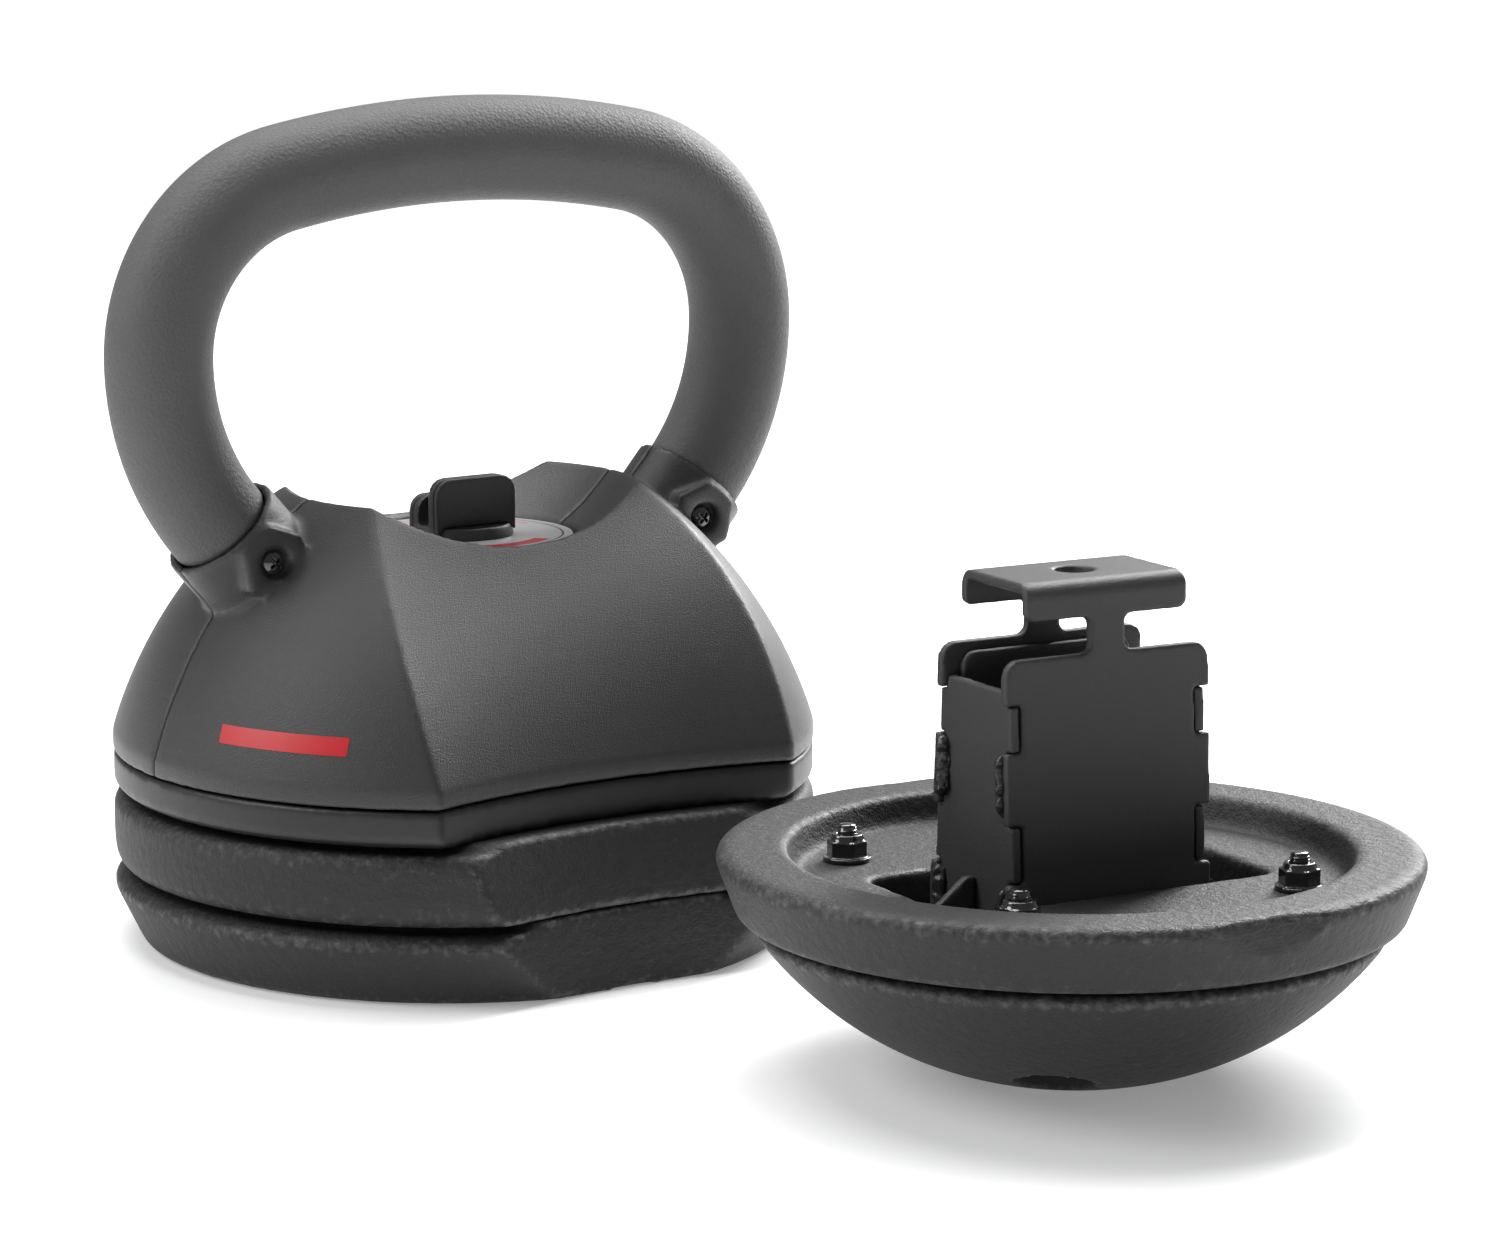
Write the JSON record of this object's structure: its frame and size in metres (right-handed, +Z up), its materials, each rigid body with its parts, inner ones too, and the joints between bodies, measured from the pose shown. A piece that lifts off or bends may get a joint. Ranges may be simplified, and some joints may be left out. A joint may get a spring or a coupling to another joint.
{
  "type": "kettlebell",
  "caption": "Adjustable kettlebell: a padded handle with a dial selector over iron ring weights, and a separate round-bottomed iron base with a T-topped steel column.",
  "frame": {"origin": "centre of the lower ring weight's underside, on the floor and on the selector's axis", "axes": "+Z up along the selector's axis, +X along the handle's width, +Y towards the back, away from the base unit"},
  "size_m": [0.2727, 0.4294, 0.258],
  "materials": {
    "tube_steel": "satin black lacquer",
    "grip_cover": "matt, leather-grain",
    "shell_plastic": "satin, fine spark texture",
    "band_plastic": "satin, smooth",
    "black_fastener": "gloss black",
    "frame_steel": "zinc plated",
    "bush_bronze": "turned",
    "knob_plastic": "satin",
    "pad_rubber": "matt",
    "dial_silver": "silver with red arcs",
    "shaft_steel": "turned",
    "drum_steel": "zinc plated",
    "ring_iron": "black paint over a cast skin",
    "base_iron": "black paint over a cast skin",
    "column_paint": "fine-textured black powder coat",
    "weld": "black over rough weld"
  },
  "bodies": {
    "lower_weight": {"lower_plate": "ring_iron"},
    "upper_weight": {"upper_plate": "ring_iron"},
    "handle_unit": {"handle_tube": "tube_steel", "handle_grip": "grip_cover", "shell_front": "shell_plastic", "shell_rear": "shell_plastic", "base_band": "band_plastic", "collar_screws": "black_fastener", "collar_nuts": "black_fastener", "band_screws": "black_fastener", "cross_frame": "frame_steel", "selector_bush": "bush_bronze"},
    "selector": {"selector_knob": "knob_plastic", "knob_pads": "pad_rubber", "dial_plate": "dial_silver", "selector_shaft": "shaft_steel", "thrust_washer": "shaft_steel", "selector_drum": "drum_steel", "drum_nut": "shaft_steel"},
    "base_unit": {"ring_plate": "base_iron", "dome_plate": "base_iron", "column_foot": "column_paint", "column_frame": "column_paint", "column_liners": "column_paint", "column_side_left": "column_paint", "column_side_right": "column_paint", "column_gussets": "column_paint", "weld_beads": "weld", "base_studs": "black_fastener", "base_nuts": "black_fastener"}
  },
  "joints": [
    {"name": "upper_weight_lift", "type": "slide", "parent": "lower_weight", "child": "upper_weight", "axis": [0, 0, 1], "range_m": [0, 0.06]},
    {"name": "handle_lift", "type": "slide", "parent": "upper_weight", "child": "handle_unit", "axis": [0, 0, 1], "range_m": [0, 0.12]},
    {"name": "selector_turn", "type": "hinge", "parent": "handle_unit", "child": "selector", "pos_m": [0, 0, 0.1235], "axis": [0, 0, 1], "range_deg": [0, 90]},
    {"name": "base_lift", "type": "slide", "parent": "lower_weight", "child": "base_unit", "axis": [0, 0, 1], "range_m": [0, 0.15]}
  ]
}
